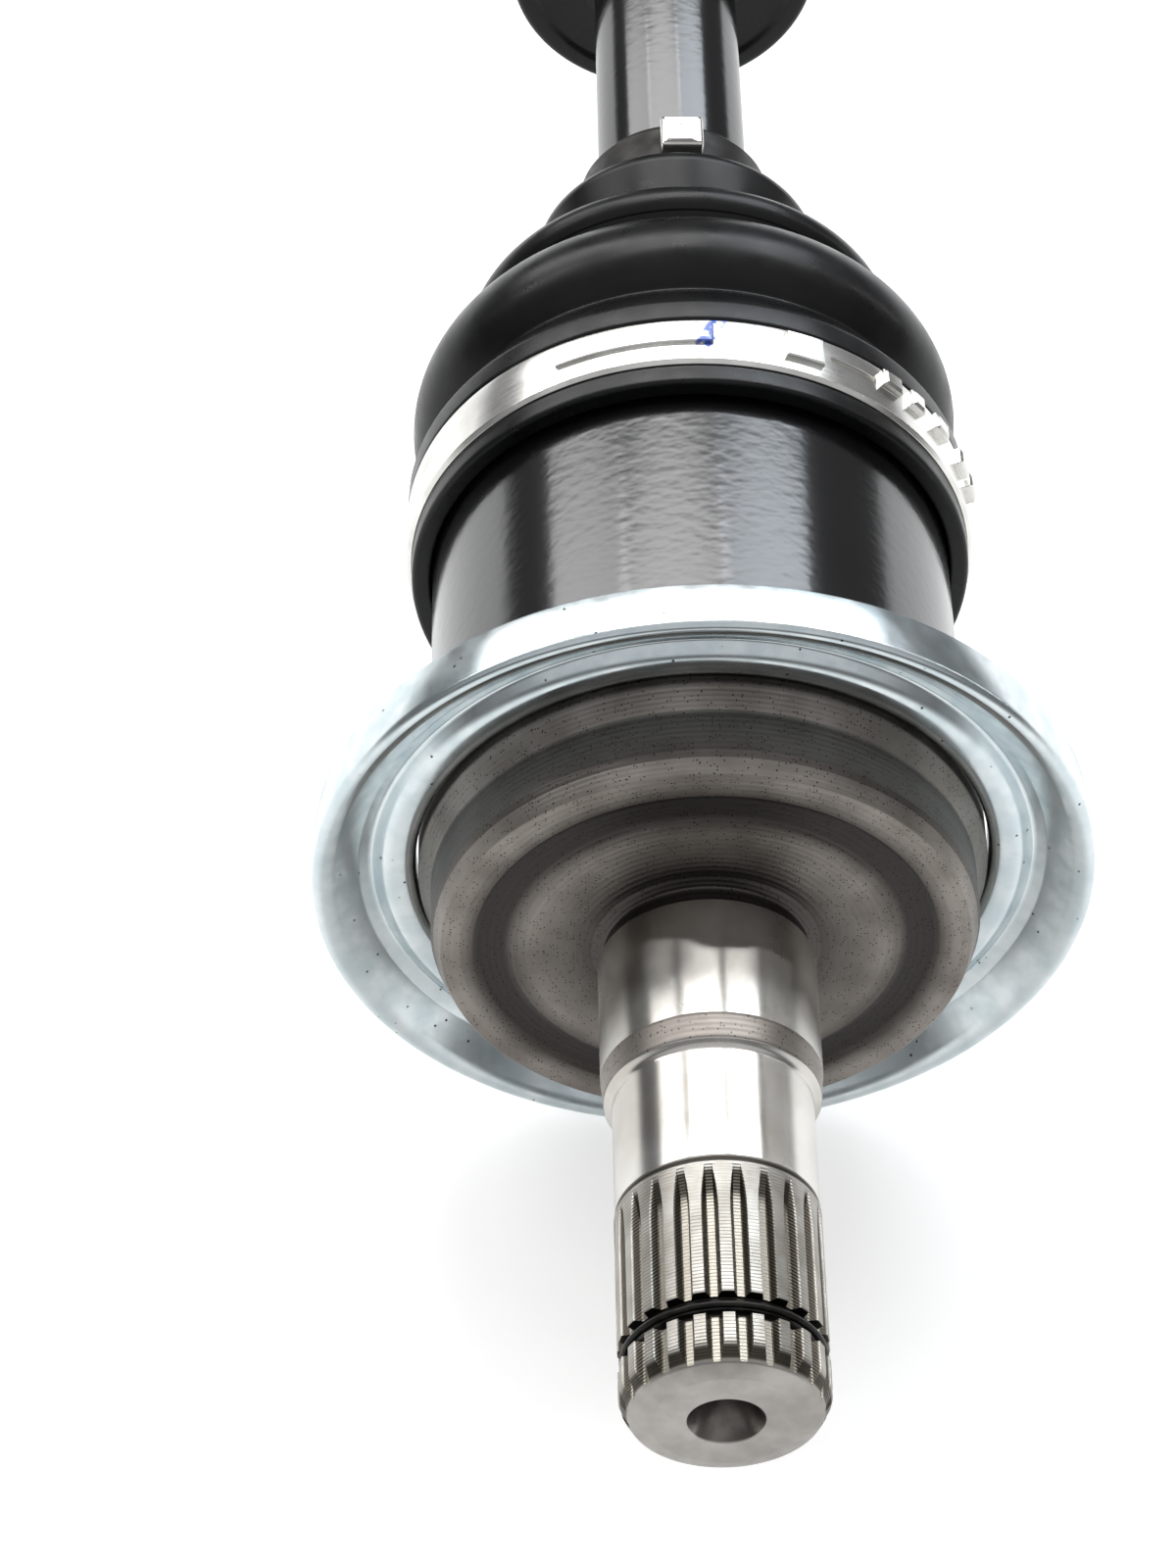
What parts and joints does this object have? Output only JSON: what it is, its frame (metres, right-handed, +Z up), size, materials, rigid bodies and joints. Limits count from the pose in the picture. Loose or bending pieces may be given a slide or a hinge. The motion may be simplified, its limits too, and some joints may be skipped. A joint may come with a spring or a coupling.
{
  "type": "axle shaft",
  "caption": "Drive axle shaft with a plunging and a fixed ball joint, splined stubs, bellows boots, a dust shield and a rubber damper.",
  "frame": {"origin": "on the bar's centre line between the damper and the outboard boot, where the bar is held", "axes": "+Y along the axle from the inboard stub to the outboard stub, +Z up"},
  "size_m": [0.1048, 0.6412, 0.1048],
  "materials": {
    "turned_steel": "turned and ground, bright on the journals",
    "hardened_steel": "hardened and ground",
    "bearing_steel": "polished",
    "spring_steel": "black oxide",
    "black_paint": "gloss black",
    "zinc_plate": "blue zinc plate",
    "boot_rubber": "satin black",
    "stainless_band": "bright rolled band"
  },
  "bodies": {
    "bar": {"bar": "black_paint", "inboard_race": "hardened_steel", "inboard_race_clip": "spring_steel", "outboard_race": "hardened_steel", "outboard_race_clip": "spring_steel", "damper_rubber": "boot_rubber", "damper_weight": "hardened_steel", "damper_clamp": "stainless_band", "inboard_boot_small_clamp": "stainless_band", "outboard_boot_small_clamp": "stainless_band"},
    "inboard_bar_ball": {"inboard_ball_4": "bearing_steel"},
    "inboard_cage": {"inboard_cage": "hardened_steel", "inboard_ball_2": "bearing_steel", "inboard_ball_3": "bearing_steel", "inboard_ball_5": "bearing_steel", "inboard_ball_6": "bearing_steel"},
    "inboard_cup_ball": {"inboard_ball_1": "bearing_steel"},
    "inboard_boot": {"inboard_boot": "boot_rubber"},
    "inboard_cup": {"inboard_cup": "turned_steel", "cup_stop_ring": "spring_steel", "stub_clip": "spring_steel", "dust_shield": "zinc_plate", "inboard_boot_large_clamp": "stainless_band"},
    "outboard_bar_ball": {"outboard_ball_4": "bearing_steel"},
    "outboard_cage": {"outboard_cage": "hardened_steel", "outboard_ball_2": "bearing_steel", "outboard_ball_3": "bearing_steel", "outboard_ball_5": "bearing_steel", "outboard_ball_6": "bearing_steel", "outboard_boot": "boot_rubber"},
    "outboard_bell_ball": {"outboard_ball_1": "bearing_steel"},
    "outboard_bell": {"outboard_bell": "turned_steel", "outboard_boot_large_clamp": "stainless_band"}
  },
  "joints": [
    {"name": "inboard_side_bar", "type": "hinge", "parent": "bar", "child": "inboard_bar_ball", "pos_m": [0, -0.254, 0], "axis": [0, 0, 1], "range_deg": [-7, 7]},
    {"name": "inboard_lift_bar", "type": "hinge", "parent": "inboard_bar_ball", "child": "inboard_cage", "pos_m": [0, -0.254, 0], "axis": [1, 0, 0], "range_deg": [-7, 7], "deforming": ["inboard_boot"]},
    {"name": "inboard_lift_cup", "type": "hinge", "parent": "inboard_cage", "child": "inboard_cup_ball", "pos_m": [0, -0.254, 0], "axis": [1, 0, 0], "range_deg": [-7, 7]},
    {"name": "inboard_side_cup", "type": "hinge", "parent": "inboard_cup_ball", "child": "inboard_boot", "pos_m": [0, -0.254, 0], "axis": [0, 0, 1], "range_deg": [-7, 7]},
    {"name": "inboard_plunge", "type": "slide", "parent": "inboard_boot", "child": "inboard_cup", "axis": [0, 1, 0], "range_m": [-0.014, 0.012]},
    {"name": "outboard_steer_bar", "type": "hinge", "parent": "bar", "child": "outboard_bar_ball", "pos_m": [0, 0.15, 0], "axis": [0, 0, 1], "range_deg": [-15, 15]},
    {"name": "outboard_lift_bar", "type": "hinge", "parent": "outboard_bar_ball", "child": "outboard_cage", "pos_m": [0, 0.15, 0], "axis": [1, 0, 0], "range_deg": [-15, 15], "deforming": ["outboard_boot"]},
    {"name": "outboard_lift_bell", "type": "hinge", "parent": "outboard_cage", "child": "outboard_bell_ball", "pos_m": [0, 0.15, 0], "axis": [1, 0, 0], "range_deg": [-15, 15]},
    {"name": "outboard_steer_bell", "type": "hinge", "parent": "outboard_bell_ball", "child": "outboard_bell", "pos_m": [0, 0.15, 0], "axis": [0, 0, 1], "range_deg": [-15, 15]}
  ],
  "couplings": [
    {"joint": "inboard_lift_cup", "follows": "inboard_lift_bar", "ratio": 1},
    {"joint": "inboard_side_cup", "follows": "inboard_side_bar", "ratio": 1},
    {"joint": "outboard_lift_bell", "follows": "outboard_lift_bar", "ratio": 1},
    {"joint": "outboard_steer_bell", "follows": "outboard_steer_bar", "ratio": 1}
  ]
}
